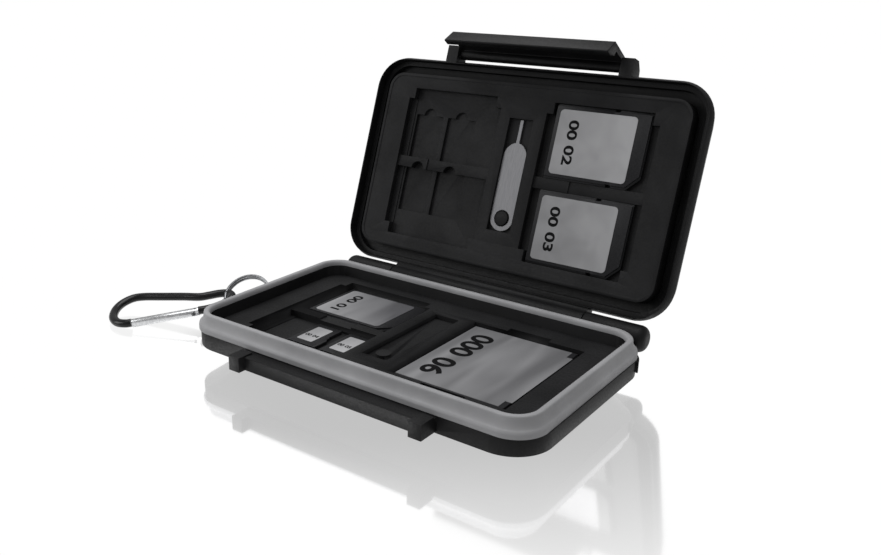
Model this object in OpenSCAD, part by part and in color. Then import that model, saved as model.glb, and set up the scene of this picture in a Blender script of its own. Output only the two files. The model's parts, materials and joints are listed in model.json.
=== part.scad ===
// Hinged memory card case, shown open, with its cards, eject tool, split ring and snap hook.
// Millimetres. Origin at the centre of the base's flat underside, +X along the hinge,
// +Y towards the hinge, +Z up. The lid, latch and hook are drawn where they rest.

/* [Base] */
// Ledge of the base outside the seal at each side
ledge_x = 0.3; // [0.1:0.1:3]
// Ledge of the base outside the seal at the front and back
ledge_y = 0.1; // [0.1:0.1:3]
// Corner radius of the base, seen from above
base_r = 11.5; // [10:0.5:14]
// Height of the upright flange below the seal
flange_h = 4.85; // [4.5:0.05:8]
// Height of the tapered belly under the flange
belly_h = 6.75; // [5:0.25:10]
// How far the belly draws in at the front
belly_front = 10.7; // [8:0.1:14]
// How far the belly draws in at each side
belly_side = 8.4; // [6:0.1:12]
// How far the belly draws in at the back
belly_rear = 3.5; // [2:0.1:8]
// Wall thickness of both shells
wall = 2.0; // [1.5:0.1:3]

/* [Seal] */
// Width of the opening inside the seal
seal_w = 112.0; // [108:0.1:114]
// Depth of the opening inside the seal
seal_d = 63.2; // [60:0.1:65]
// Corner radius of that opening
seal_r = 6.0; // [5:0.5:7]
// Width of the seal's foot
seal_t = 3.6; // [3.2:0.1:4]
// Height of the seal above the flange
seal_h = 5.4; // [5:0.1:7]
// Thickness of the upright lip that the seal is fitted on
lip_t = 1.3; // [1:0.1:1.6]

/* [Lid] */
// Thickness of the lid's rim at each side
rim_x = 1.2; // [1:0.1:3]
// Thickness of the lid's rim at the front and back
rim_y = 0.9; // [0.8:0.1:2]
// Corner radius of the lid
lid_r = 11.4; // [10:0.2:14]
// Thickness of the lid from its rim to its back
lid_h = 11.6; // [10.5:0.1:15]
// Draft of the lid's side wall before it turns in to the back
lid_draft = 1.5; // [0.5:0.1:1.8]
// Opening angle from shut to the hinge stop
open_angle = 109; // [90:1:120]

/* [Hinge] */
// Distance of the hinge axis behind the base
hinge_back = 5.76; // [5.7:0.02:8]
// Height of the hinge axis above the flange's top
hinge_up = 0.48; // [0.3:0.02:0.8]
// Radius of the hinge knuckles
knuckle_r = 4.1; // [3.5:0.1:4.2]
// Half length of the lid's middle knuckle
knuckle_in = 36.5; // [20:0.5:40]
// Distance of the outer knuckles' ends from the sides of the base
knuckle_end = 2.9; // [2:0.1:8]
// Radius of the hinge pin
hinge_pin_r = 1.25; // [1:0.05:1.6]

/* [Latch] */
// Half length of the latch
latch_half = 29.4; // [20:0.2:34]
// Distance of the latch pin in front of the base when shut
latch_ahead = 3.94; // [3.8:0.02:5]
// Depth of the latch pin behind the hinge axis
latch_w = 2.9; // [2.6:0.05:3.4]
// Angle that the latch stands off from shut, as shown
latch_rest = 14.7; // [0:0.1:40]
// Radius of the latch pin
latch_pin_r = 0.75; // [0.6:0.05:0.9]
// Width of each lug that carries the latch pin
lug_w = 4.3; // [3.5:0.1:6]

/* [Cards] */
// Length of a full-size card
sd_l = 32; // [30:0.5:34]
// Width of a full-size card
sd_w = 24; // [22:0.5:24.4]
// Thickness of a full-size card
sd_h = 2.1; // [1.4:0.1:2.4]
// Length of a small card
micro_l = 15; // [14:0.5:15.5]
// Width of a small card
micro_w = 11; // [10:0.5:11.5]
// Thickness of a small card
micro_h = 1.0; // [0.7:0.1:1.2]
// Width of the large flash card
cf_w = 36.4; // [35:0.2:36.8]
// Length of the large flash card
cf_l = 42.8; // [36:0.2:43.2]
// Thickness of the large flash card
cf_h = 3.3; // [2.5:0.1:3.5]
// Thickness of the card labels
label_h = 0.12; // [0.1:0.02:0.3]

/* [Tray] */
// Width of a card pocket that takes one card above another
pocket_w = 33.3; // [33:0.1:34]
// Length of such a pocket
pocket_l = 52.0; // [51.8:0.1:53]
// Distance of the left pocket's middle from the base tray's side
left_in = 28.0; // [27:0.1:30]
// Distance of the large card's middle from the base tray's side
cf_in = 29.15; // [28:0.1:31]
// Distance of the left pocket's middle from the lid tray's side
lid_left_in = 28.85; // [28:0.1:30]
// Distance of the right pocket's middle from the lid tray's side
lid_right_in = 28.55; // [28:0.1:30]
// Width of the bar between the pocket's halves
bar_w = 3.7; // [3:0.1:4.2]
// Width of the finger channels beside a pocket
finger_w = 2.2; // [1.5:0.1:2.4]
// Length of the eject tool
tool_l = 37.2; // [30:0.2:38]
// Width of the eject tool
tool_w = 8.6; // [7:0.2:9]
// Thickness of the eject tool
tool_h = 0.8; // [0.5:0.1:1]

/* [Ring and hook] */
// Radius of the split ring at the middle of its wire
ring_r = 9.0; // [8.6:0.1:9.4]
// Diameter of the split ring's wire
ring_wire = 0.8; // [0.6:0.05:0.9]
// Distance between the split ring's two turns
ring_pitch = 1.25; // [1.25:0.05:1.5]
// Width of the hook's oval section, in its own plane
hook_a = 3.3; // [2.6:0.1:3.6]
// Thickness of the hook's oval section
hook_b = 2.3; // [2:0.1:2.6]
// Radius of the hook's gate
gate_r = 1.1; // [0.9:0.05:1.3]

/* [Hidden] */
$fn = 64;

// Outlines of the base and the lid, and the hinge and latch lines
base_w = seal_w + 2 * (seal_t + ledge_x);
base_d = seal_d + 2 * (seal_t + ledge_y);
hinge_y = base_d / 2 + hinge_back;
knuckle_out = base_w / 2 - knuckle_end;
latch_v = hinge_y + base_d / 2 + latch_ahead;
part_z = belly_h + flange_h;
hinge_z = part_z + hinge_up;
tray_top = part_z + 0.15;
tray_floor = part_z - 5.15;
sd_floor = part_z - 3.65;
micro_floor = part_z - 4.0;
cf_floor = part_z - 3.85;
bar_top = part_z - 1.45;
tool_floor = part_z - 1.35;
// Running gaps
fit = 0.15;
run = 0.05;
side_gap = 0.35;
eps = 0.01;

// Seal seat and upright lip
lip_h = seal_h - 1.6;
seal_soft = 1.5;
seal_out_w = seal_w + 2 * seal_t;
seal_out_d = seal_d + 2 * seal_t;
seal_crest = 1.9;

// Lid, in its own frame: x along the hinge, y from the hinge to the latch, z into the case
rim_w = hinge_up;
rim_in_w = seal_out_w + 1.0;
rim_in_d = seal_out_d + 0.6;
rim_in_r = seal_r + seal_t + 0.4;
lid_w = rim_in_w + 2 * rim_x;
lid_d = rim_in_d + 2 * rim_y;
land_w = rim_w - 3.5;
groove_w = rim_w - seal_h - 0.4;
seat_w = groove_w - 0.5;
groove_in = 2.4;
shoulder = 1.8;
tray_gap = 0.5;
tray_swing = 0.8;
tray_w = seal_w - 2 * tray_gap;
tray_d = seal_d - 2 * tray_swing;
tray_r = seal_r - tray_gap;
face_w = rim_w - 0.38;
bead_w = 1.0;
bead_h = 0.18;
tray_wall = 2.6;
tray_skin = 0.8;
field_w = face_w - bead_h;
lid_sd_floor = field_w - sd_h - 0.45;
lid_micro_floor = lid_sd_floor - micro_h;
lid_tool_floor = field_w - tool_h - 0.75;

// Pockets in the base tray
left_x = left_in - seal_w / 2;
left_y = 1.1;
left_bar = -1.15;
cf_x = seal_w / 2 - cf_in;
cf_y = 0.4;
cf_pocket_w = cf_w + 0.9;
cf_pocket_l = cf_l + 2.2;
tool_x = -0.6;
tool_y = 1.75;
tool_slot_w = tool_w + 0.2;
tool_slot_l = tool_l + 0.4;
boss_r = 2.3;
micro_x = [left_x - 0.6, left_x + 12.4];
micro_y = -10.1;
sd_base_x = left_x + 0.55;
sd_base_y = left_y + left_bar + bar_w / 2 + sd_w / 2 + 0.6;

// Pockets in the lid tray
lid_left_x = lid_left_in - seal_w / 2;
lid_right_x = seal_w / 2 - lid_right_in;
lid_pocket_v = hinge_y - 0.15;
lid_tool_v = hinge_y + 0.55;
lid_sd_out = (pocket_l / 2 + bar_w / 2) / 2;

// Latch, in its own frame: y outwards from the pin, z down the latch when shut
latch_out = 3.3;
latch_in = 1.15;
latch_drop = 10.1;
barrel_r = 1.7;
hook_shelf = 7.78;
ridge_y = -(base_d / 2 + 4.4);
ridge_low = hinge_z + latch_w - hook_shelf + 0.25;
guard_y = -(base_d / 2 + 6.8);
guard_in = latch_half + side_gap - 0.1;
guard_w = 4.0;
lug_in = latch_half + side_gap;
lug_v = latch_v + 2.5;
lug_deep = 3.2;
lug_foot = 5.5;

// Split ring and snap hook
eye_r = 1.7;
eye_rim = 1.25;
eye_h = 1.6;
eye_x = -(base_w / 2 + eye_r + 0.2);
eye_y = 1.2;
eye_z = part_z - 3.95;
ring_turn = [-118, 10, 15];
ring_hang = 156;
ring_reach = norm([eye_rim / 2, eye_h / 2]) + ring_wire / 2 + run;
ring_at = [eye_x - eye_r - eye_rim / 2 + ring_reach, eye_y, eye_z];
hook_turn = [8, -9.7, 42.5];
hook_hang = [36.85, -1.05, 0];
function turned(v, a) =
    let (p = [v[0], v[1] * cos(a[0]) - v[2] * sin(a[0]), v[1] * sin(a[0]) + v[2] * cos(a[0])],
         q = [p[0] * cos(a[1]) + p[2] * sin(a[1]), p[1], p[2] * cos(a[1]) - p[0] * sin(a[1])])
    [q[0] * cos(a[2]) - q[1] * sin(a[2]), q[0] * sin(a[2]) + q[1] * cos(a[2]), q[2]];
hook_at = ring_at + turned([ring_r * (cos(ring_hang) - 1), ring_r * sin(ring_hang), 0], ring_turn);
spring_l = 9;
spring_in = 2.3;
pivot = [29.4, -7.95];
gate_nose = [8.4, -7.6];
gate_turn = atan2(pivot[1] - gate_nose[1], pivot[0] - gate_nose[0]);
rivet_r = 0.4;
tongue = 0.9;
spring_r = 0.5;
// Middle line of the hook's bar, from the gate's pivot round to its nose
hook_line = [[31.2, -7.95], [34.2, -7.8], [37.2, -6.2], [39.2, -3.2], [39.6, 0.2], [38.0, 2.8], [35.0, 3.5],
             [31.0, 2.2], [25.0, 4.4], [17.0, 7.4], [10.0, 10.0], [6.0, 10.2], [2.6, 7.6], [0.9, 3.4],
             [1.0, -1.6], [3.0, -5.6], [6.0, -7.4], [8.0, -7.6]];

// Flat shape of a rectangle with round corners
module round_rect(w, d, r) {
    square([w - 2 * r, d], center = true);
    square([w, d - 2 * r], center = true);
    for (sx = [-1, 1], sy = [-1, 1])
        translate([sx * (w / 2 - r), sy * (d / 2 - r)])
            circle(r);
}

// Slab with round corners, standing from z to z + h
module slab(w, d, r, z, h, y = 0) {
    translate([0, y, z])
        linear_extrude(h)
            round_rect(w, d, r);
}

// Carries a section round a rounded rectangle, with the section's x measured outwards from it
module round_sweep(w, d, r) {
    for (k = [0:3]) {
        across = (k % 2 == 0) ? w : d;
        along = ((k % 2 == 0) ? d : w) - 2 * r;
        rotate(90 * k)
            translate([across / 2, along / 2, 0])
                rotate([90, 0, 0])
                    linear_extrude(along)
                        children();
        rotate(90 * k)
            translate([across / 2 - r, along / 2, 0])
                rotate_extrude(angle = 90)
                    translate([r, 0])
                        children();
    }
}

// Section in the plane across the hinge, given thickness from x0 to x1
module across(x0, x1) {
    translate([x0, 0, 0])
        rotate([90, 0, 90])
            linear_extrude(x1 - x0)
                children();
}

// Pin or bore along the hinge direction
module rod(r, x0, x1) {
    translate([x0, 0, 0])
        rotate([0, 90, 0])
            cylinder(r = r, h = x1 - x0);
}

// Box from one corner to the other
module block(a, b) {
    translate(a)
        cube(b - a);
}

module at_hinge() {
    translate([0, hinge_y, hinge_z])
        children();
}

module in_lid() {
    at_hinge()
        rotate([180 - open_angle, 0, 0])
            children();
}

module in_latch() {
    in_lid()
        translate([0, latch_v, -latch_w])
            rotate([-latch_rest, 0, 0])
                children();
}

module in_ring() {
    translate(ring_at)
        rotate(ring_turn)
            translate([-ring_r, 0, 0])
                children();
}

module in_hook() {
    translate(hook_at)
        rotate(hook_turn)
            translate(-hook_hang)
                children();
}

// Base: flange, tapered belly, upright lip, hinge knuckles, guards and catch

module belly(inset, z0, z1) {
    front = belly_front * (1 - z0 / belly_h) + inset;
    rear = belly_rear * (1 - z0 / belly_h) + inset;
    side = belly_side * (1 - z0 / belly_h) + inset;
    r0 = base_r - 3;
    hull() {
        slab(base_w - 2 * side, base_d - front - rear, r0, z0, eps, (front - rear) / 2, $fn = 48);
        slab(base_w - 2 * inset, base_d - 2 * inset, base_r - inset, z1 - eps, eps, $fn = 48);
    }
}

module knuckle_bar(x0, x1) {
    soft = 2.6;
    translate([x0, 0, 0])
        rotate([0, 90, 0])
            rotate_extrude() {
                square([knuckle_r, x1 - x0 - soft]);
                square([knuckle_r - soft, x1 - x0]);
                translate([knuckle_r - soft, x1 - x0 - soft])
                    intersection() {
                        circle(soft);
                        square(soft);
                    }
            }
}

module outer_knuckle() {
    start = knuckle_in + side_gap;
    at_hinge()
        knuckle_bar(start, knuckle_out);
    across(start, knuckle_out - 3)
        polygon([[base_d / 2 - 3, belly_h], [base_d / 2 + 1, belly_h], [hinge_y, hinge_z - knuckle_r],
                 [hinge_y, hinge_z], [hinge_y - 3.2, part_z - 0.2], [base_d / 2 - 3, part_z - 0.2]]);
}

// Band that wraps each rear corner and runs into the knuckles
module rear_collar() {
    intersection() {
        slab(base_w + 1.6, base_d + 1.6, base_r + 0.8, part_z - 3.6, 3.3);
        block([-base_w, base_d / 2 - 8.9, 0], [base_w, base_d, part_z]);
    }
}

module guard() {
    block([guard_in, guard_y, part_z - 4.15], [guard_in + guard_w, -base_d / 2 + 1, part_z - 0.25]);
    block([guard_in, guard_y, part_z - 0.5], [guard_in + guard_w, -base_d / 2 - 1.3, part_z + 0.3]);
}

module catch_ridge() {
    across(-guard_in - eps, guard_in + eps)
        polygon([[-base_d / 2 + 1, ridge_low], [ridge_y, ridge_low], [ridge_y, part_z - 0.35],
                 [ridge_y + 0.4, part_z - 0.05], [-base_d / 2 - 1.2, part_z - 0.3],
                 [-base_d / 2 + 1, part_z - 0.3]]);
}

// Flat eye on the left side that the split ring passes through
module eye_tab() {
    translate([0, 0, eye_z - eye_h / 2])
        linear_extrude(eye_h) {
            translate([eye_x, eye_y])
                circle(eye_r + eye_rim);
            translate([eye_x, eye_y - eye_r - eye_rim])
                square([-eye_x - base_w / 2 + 1, 2 * (eye_r + eye_rim)]);
        }
}

module base_shell() {
    color([0.07, 0.07, 0.07])
        difference() {
            union() {
                belly(0, 0, belly_h + eps);
                slab(base_w, base_d, base_r, belly_h, flange_h);
                slab(seal_w + 2 * lip_t, seal_d + 2 * lip_t, seal_r + lip_t, part_z - 1, lip_h + 1);
                rear_collar();
                for (s = [0, 1])
                    mirror([s, 0, 0]) {
                        outer_knuckle();
                        guard();
                    }
                catch_ridge();
                eye_tab();
            }
            slab(seal_w, seal_d, seal_r, tray_floor, seal_h + 8);
            belly(wall + 3, wall, tray_floor + eps);
            translate([eye_x, eye_y, eye_z - 2])
                cylinder(r = eye_r, h = 4);
            at_hinge()
                rod(hinge_pin_r, -knuckle_out + 1, knuckle_out - 1);
            at_hinge()
                rod(knuckle_r + side_gap, -knuckle_in - side_gap, knuckle_in + side_gap);
        }
}

// Elastomer seal: a round crest, a hollow flank and a square foot
module seal_section() {
    flank_top = seal_h - 0.5;
    flank_low = 1.9;
    polygon(concat(
        [[lip_t, 0], [seal_t, 0], [seal_t, 1.2]],
        [for (a = [0:15:90])
            [seal_t - 0.15 - (seal_t - 0.15 - seal_crest - 0.15) * sin(a),
             flank_top - (flank_top - flank_low) * cos(a)]],
        [for (a = [0:30:90]) [seal_crest - 0.35 + 0.5 * cos(a), flank_top + 0.5 * sin(a)]],
        [for (a = [90:18:180]) [0.75 + 0.75 * cos(a), seal_h - seal_soft + seal_soft * sin(a)]],
        [[0, lip_h], [lip_t, lip_h]]));
}

module seal_ring() {
    color([0.52, 0.52, 0.53])
        translate([0, 0, part_z])
            round_sweep(seal_w, seal_d, seal_r)
                seal_section();
}

// Trays

// Pocket for two full-size cards, with finger channels and a bar between the halves
module card_pocket(floor, top, deep, bar = 0) {
    half = pocket_l / 2;
    difference() {
        union() {
            translate([-pocket_w / 2, -half, floor])
                cube([pocket_w, pocket_l, deep]);
            translate([-pocket_w / 2 - finger_w, -half + 3.7, floor + 0.3])
                cube([pocket_w + 2 * finger_w, pocket_l - 7.4, deep]);
        }
        // Low bar, and its taller stubs at the two walls
        translate([-pocket_w / 2 - finger_w, bar - bar_w / 2, floor - 1])
            cube([pocket_w + 2 * finger_w, bar_w, 1 + (top - floor) * 0.45]);
        for (s = [-1, 1])
            translate([s * (pocket_w / 2 - 4) - 4 - finger_w, bar - bar_w / 2, floor - 1])
                cube([8 + 2 * finger_w, bar_w, 1 + (top - floor) * 0.62]);
    }
}

// Slot shaped for the eject tool, with the round boss that its eye drops over
module tool_pocket(floor, deep) {
    difference() {
        translate([-tool_slot_w / 2, -tool_slot_l / 2, floor])
            cube([tool_slot_w, tool_slot_l, deep]);
        translate([0, -tool_l / 2 + tool_w / 2, floor - 1])
            cylinder(r = boss_r, h = 1 + tool_h + 0.3);
    }
}

module base_tray() {
    gap = 0.1;
    color([0.1, 0.1, 0.1])
        difference() {
            slab(seal_w - 2 * gap, seal_d - 2 * gap, seal_r - gap, tray_floor, tray_top - tray_floor);
            translate([left_x, left_y, 0])
                card_pocket(sd_floor, tray_top, 8, left_bar);
            // Lower floor for the small cards
            block([micro_x[0] - micro_w / 2 - 0.3, micro_y - micro_l / 2 - 0.4, micro_floor],
                  [left_x + pocket_w / 2 + finger_w, left_y + left_bar - bar_w / 2 - 0.1, tray_top + 1]);
            translate([cf_x, cf_y, 0]) {
                translate([-cf_pocket_w / 2, -cf_pocket_l / 2, cf_floor])
                    cube([cf_pocket_w, cf_pocket_l, 8]);
                // Finger room in front of and behind the large card
                for (s = [-1, 1])
                    translate([-7, s * cf_pocket_l / 2 - 2.2, cf_floor + 0.6])
                        cube([14, 4.4, 8]);
            }
            translate([tool_x, tool_y, 0])
                tool_pocket(tool_floor, 8);
        }
}

module lid_tray() {
    color([0.1, 0.1, 0.1])
        in_lid()
            difference() {
                slab(tray_w, tray_d, tray_r, seat_w, face_w - seat_w, hinge_y);
                slab(tray_w - 2 * bead_w, tray_d - 2 * bead_w, tray_r - bead_w, field_w, 1, hinge_y);
                // Hollow back, as a moulded tray has
                slab(tray_w - 2 * tray_wall, tray_d - 2 * tray_wall, tray_r - tray_wall / 2, seat_w - 1,
                     lid_micro_floor - tray_skin - seat_w + 1, hinge_y);
                for (x = [lid_left_x, lid_right_x])
                    translate([x, lid_pocket_v, 0])
                        card_pocket(lid_sd_floor, field_w, 8);
                // Outlines of the small cards, let into the floor of the empty pocket
                for (x = [0, 1], s = [-1, 1])
                    translate([lid_left_x - pocket_w / 2 + 6.4 + 13.2 * x,
                               lid_pocket_v + s * (bar_w / 2 + 0.2 + micro_l / 2), lid_micro_floor])
                        small_card_recess();
                translate([0, lid_tool_v, 0])
                    tool_pocket(lid_tool_floor, 8);
            }
}

module small_card_recess() {
    translate([-micro_w / 2 - 0.1, -micro_l / 2 - 0.15, 0])
        cube([micro_w + 0.2, micro_l + 0.3, 4]);
    translate([0, micro_l / 2, 0])
        cylinder(r = 2.6, h = 4);
}

// Lid

module lid_outer() {
    back_d = lid_d - belly_front - belly_rear - 1;
    back_y = hinge_y + (belly_rear - belly_front) / 2;
    hull() {
        slab(lid_w - 1.6, lid_d - 1.4, lid_r - 0.8, rim_w - eps, eps, hinge_y, $fn = 48);
        slab(lid_w, lid_d, lid_r, rim_w - shoulder - 0.4, 0.4, hinge_y, $fn = 48);
        slab(lid_w - 2 * lid_draft, lid_d - lid_draft, lid_r, seat_w - 1.1, 0.4, hinge_y, $fn = 48);
        slab(lid_w - 2 * belly_side - 2, back_d, base_r - 3, rim_w - lid_h, eps, back_y, $fn = 48);
    }
}

module lid_hollow() {
    in = wall + 5;
    hull() {
        slab(seal_w - 2 * wall - 2, seal_d - 2 * wall - 2, seal_r, seat_w - eps, 2 * eps, hinge_y, $fn = 48);
        slab(lid_w - 2 * belly_side - 2 * in, lid_d - belly_front - belly_rear - 2 * in, base_r - 5,
             rim_w - lid_h + wall, eps, hinge_y + (belly_rear - belly_front) / 2, $fn = 48);
    }
}

module lid_knuckle() {
    rod(knuckle_r, -knuckle_in, knuckle_in);
    across(-knuckle_in, knuckle_in)
        polygon([[0, 0], [3.4, 1.4], [5.0, 0.3], [9, -1], [9, -knuckle_r], [0, -knuckle_r]]);
}

module latch_lug() {
    across(lug_in, lug_in + lug_w)
        polygon([[latch_v - lug_foot, -0.1], [lug_v, -0.1], [lug_v, -latch_w - 0.5],
                 [latch_v, -latch_w - lug_deep + 0.5], [latch_v - lug_deep + 0.8, -latch_w - lug_deep],
                 [latch_v - lug_foot, -latch_w - lug_deep]]);
}

module lid_shell() {
    color([0.07, 0.07, 0.07])
        in_lid()
            difference() {
                union() {
                    lid_outer();
                    lid_knuckle();
                    for (s = [0, 1])
                        mirror([s, 0, 0])
                            latch_lug();
                }
                slab(rim_in_w, rim_in_d, rim_in_r, land_w, 8, hinge_y);
                slab(seal_w + 2 * groove_in, seal_d + 2 * groove_in, seal_r + groove_in, groove_w, 8, hinge_y);
                slab(tray_w + 2 * 0.1, tray_d + 2 * 0.1, tray_r + 0.1, seat_w, 8, hinge_y);
                lid_hollow();
                rod(hinge_pin_r + run, -knuckle_in - 1, knuckle_in + 1);
                translate([0, latch_v, -latch_w])
                    rod(latch_pin_r, -lug_in - lug_w + 0.6, lug_in + lug_w - 0.6);
            }
}

module hinge_pin() {
    color([0.7, 0.7, 0.7])
        at_hinge()
            rod(hinge_pin_r, -knuckle_out + 1.5, knuckle_out - 1.5);
}

// Latch: barrel, plate, finger lip folded inwards and the shelf that grips the catch

module latch_section() {
    circle(barrel_r);
    polygon([[0, -barrel_r], [2.3, -1.5], [3.0, -1.0], [latch_out, -0.3], [latch_out, latch_drop],
             [latch_out - 0.2, latch_drop + 0.25], [-1.5, latch_drop + 3.15], [-1.85, latch_drop + 2.9],
             [-1.95, latch_drop + 0.7], [-0.34, hook_shelf], [latch_in, hook_shelf], [latch_in, 1.4],
             [0, barrel_r]]);
}

module latch() {
    color([0.08, 0.08, 0.08])
        in_latch()
            difference() {
                across(-latch_half, latch_half)
                    latch_section();
                rod(latch_pin_r + run, -latch_half - 1, latch_half + 1);
            }
}

module latch_pin() {
    color([0.7, 0.7, 0.7])
        in_latch()
            rod(latch_pin_r, -lug_in - lug_w + 0.8, lug_in + lug_w - 0.8);
}

// Cards, each drawn round its own middle with its underside at z = 0

// Full-size card, contacts and cut corner towards +x
module sd_card() {
    cut = 4;
    notch = 1.6;
    rail = 0.7;
    difference() {
        union() {
            linear_extrude(sd_h)
                sd_outline(rail);
            translate([0, 0, rail])
                linear_extrude(sd_h - 2 * rail)
                    sd_outline(0);
        }
        translate([3.6, sd_w / 2 - 0.8, -1])
            cube([notch, 2, sd_h + 2]);
        translate([5.4, -sd_w / 2 - 1, -1])
            cube([notch, 1.8, sd_h + 2]);
    }
}

module sd_outline(inset) {
    l = sd_l / 2 - (inset > 0 ? 0.25 : 0);
    w = sd_w / 2 - inset * 0.9;
    polygon([[-l, -w], [l - 4, -w], [l, -w + 4], [l, w], [-l, w]]);
}

module sd_label() {
    translate([-1.33, 0, sd_h])
        linear_extrude(label_h)
            round_rect(sd_l - 6.1, sd_w - 3.3, 1.3);
}

// Small card with its contact end towards +y and the step on its right edge
module micro_card() {
    w = micro_w / 2;
    l = micro_l / 2;
    step = 1.3;
    linear_extrude(micro_h)
        polygon([[-w + 0.4, -l], [w - 0.4, -l], [w, -l + 0.4], [w, l - 9.0], [w - 0.8, l - 8.2],
                 [w - 0.8, l - 7.0], [w - step, l - 6.2], [w - step, l - 0.4], [w - step - 0.4, l],
                 [-w + 0.4, l], [-w, l - 0.4], [-w, -l + 0.4]]);
    translate([-w + 1, -l, 0])
        cube([micro_w - 2, 0.9, micro_h + label_h]);
}

module micro_label() {
    translate([-micro_w / 2 + 4.75, 0.2, micro_h])
        linear_extrude(label_h)
            round_rect(6.0, 10.4, 0.5);
}

// Large flash card with raised side rails
module cf_card() {
    rail = 1.6;
    color([0.2, 0.2, 0.2])
        translate([cf_x, cf_y - 0.1, cf_floor]) {
            translate([-cf_w / 2 + 1, -cf_l / 2, 0])
                cube([cf_w - 2, cf_l, cf_h]);
            translate([-cf_w / 2, -cf_l / 2 + 2.5, (cf_h - rail) / 2])
                cube([cf_w, cf_l - 2.5, rail]);
        }
}

module cf_label() {
    color([0.7, 0.7, 0.7])
        translate([cf_x - 0.75, cf_y - 0.1, cf_floor + cf_h])
            linear_extrude(label_h) {
                square([cf_w - 3.6, cf_l - 1], center = true);
                translate([cf_w / 2 - 1.8 - eps, 4.1 - cf_l / 2])
                    square([2, cf_l - 8.4]);
            }
}

module base_sd() {
    translate([sd_base_x, sd_base_y, sd_floor])
        children();
}

// Card in the right pocket of the lid: half is 1 for the one away from the hinge
module lid_sd(half) {
    in_lid()
        translate([lid_right_x + 0.05, lid_pocket_v + half * lid_sd_out, lid_sd_floor])
            children();
}

module base_micro(i) {
    translate([micro_x[i], micro_y, micro_floor])
        children();
}

module sd_card_base() {
    color([0.16, 0.16, 0.16])
        base_sd()
            sd_card();
}

module sd_card_lid_upper() {
    color([0.16, 0.16, 0.16])
        lid_sd(1)
            sd_card();
}

module sd_card_lid_lower() {
    color([0.16, 0.16, 0.16])
        lid_sd(-1)
            sd_card();
}

module sd_label_base() {
    color([0.75, 0.75, 0.75])
        base_sd()
            sd_label();
}

module sd_label_lid_upper() {
    color([0.6, 0.6, 0.6])
        lid_sd(1)
            sd_label();
}

module sd_label_lid_lower() {
    color([0.6, 0.6, 0.6])
        lid_sd(-1)
            sd_label();
}

module micro_card_left() {
    color([0.16, 0.16, 0.16])
        base_micro(0)
            micro_card();
}

module micro_card_right() {
    color([0.16, 0.16, 0.16])
        base_micro(1)
            micro_card();
}

module micro_label_left() {
    color([0.85, 0.85, 0.85])
        base_micro(0)
            micro_label();
}

module micro_label_right() {
    color([0.85, 0.85, 0.85])
        base_micro(1)
            micro_label();
}

// Eject tool: flat sheet with a round eye, shoulders and a pin
module sim_tool() {
    r = tool_w / 2;
    eye = -tool_l / 2 + r;
    color([0.6, 0.6, 0.6])
        in_lid()
            translate([0, lid_tool_v, lid_tool_floor])
                linear_extrude(tool_h)
                    difference() {
                        union() {
                            translate([0, eye])
                                circle(r);
                            polygon(concat([[-r, eye], [r, eye], [r, 5.6]],
                                [for (a = [0:15:90]) [0.6 + (r - 0.6) * (1 - sin(a)), 5.6 + 6 * (1 - cos(a))]],
                                [[0.6, tool_l / 2], [-0.6, tool_l / 2]],
                                [for (a = [90:-15:0]) [-0.6 - (r - 0.6) * (1 - sin(a)), 5.6 + 6 * (1 - cos(a))]]));
                        }
                        translate([0, eye])
                            circle(boss_r + 0.35);
                    }
}

// Split ring: one wire of two turns that steps across once

function ring_step(a) = a < 330 ? -0.5 : a > 390 ? 0.5 : -0.5 + (1 - cos(3 * (a - 330))) / 2;
function ring_point(a) = [ring_r * cos(a), ring_r * sin(a), ring_pitch * ring_step(a)];
ring_angles = [for (i = [0:43]) 36 + i * 15];
ring_points = [for (a = ring_angles) ring_point(a)];
ring_gap = min([for (i = [0:43], j = [0:43]) if (j - i > 12) norm(ring_points[i] - ring_points[j])]) - ring_wire;
echo(ring_gap_to_itself = ring_gap);
echo(ring_pivot = [eye_x - eye_r - eye_rim / 2, eye_y, eye_z], hook_at = hook_at);
echo(gate_pivot = hook_at + turned([pivot[0], pivot[1], 0] - hook_hang, hook_turn));

// Closed tube through points, given the two section directions at each of them
function tube_points(p, u, v, a, b, n) =
    [for (i = [0:len(p) - 1], k = [0:n - 1]) p[i] + a * cos(360 * k / n) * u[i] + b * sin(360 * k / n) * v[i]];
function tube_faces(m, n) = concat(
    [for (i = [0:m - 2], k = [0:n - 1]) [i * n + k, i * n + (k + 1) % n, (i + 1) * n + k]],
    [for (i = [0:m - 2], k = [0:n - 1]) [i * n + (k + 1) % n, (i + 1) * n + (k + 1) % n, (i + 1) * n + k]],
    [for (k = [1:n - 2]) [0, k + 1, k]],
    [for (k = [1:n - 2]) [(m - 1) * n, (m - 1) * n + k, (m - 1) * n + k + 1]]);

module split_ring() {
    sides = 6;
    out = [for (a = ring_angles) [cos(a), sin(a), 0]];
    side = [for (a = ring_angles) [0, 0, 1]];
    color([0.75, 0.75, 0.75])
        in_ring()
            polyhedron(tube_points(ring_points, side, out, ring_wire / 2, ring_wire / 2, sides),
                       tube_faces(len(ring_points), sides));
}

// Hook: an oval bar swept along its middle line

function smooth(p, i, t) =
    let (a = p[max(i - 1, 0)], b = p[i], c = p[i + 1], d = p[min(i + 2, len(p) - 1)])
    0.5 * ((2 * b) + (c - a) * t + (2 * a - 5 * b + 4 * c - d) * t * t + (3 * b - a - 3 * c + d) * t * t * t);
hook_path = concat([for (i = [0:len(hook_line) - 2], t = [0:1 / 3:0.99]) smooth(hook_line, i, t)],
                   [hook_line[len(hook_line) - 1]]);
function heading(p, i) =
    let (d = p[min(i + 1, len(p) - 1)] - p[max(i - 1, 0)])
    d / norm(d);

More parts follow.
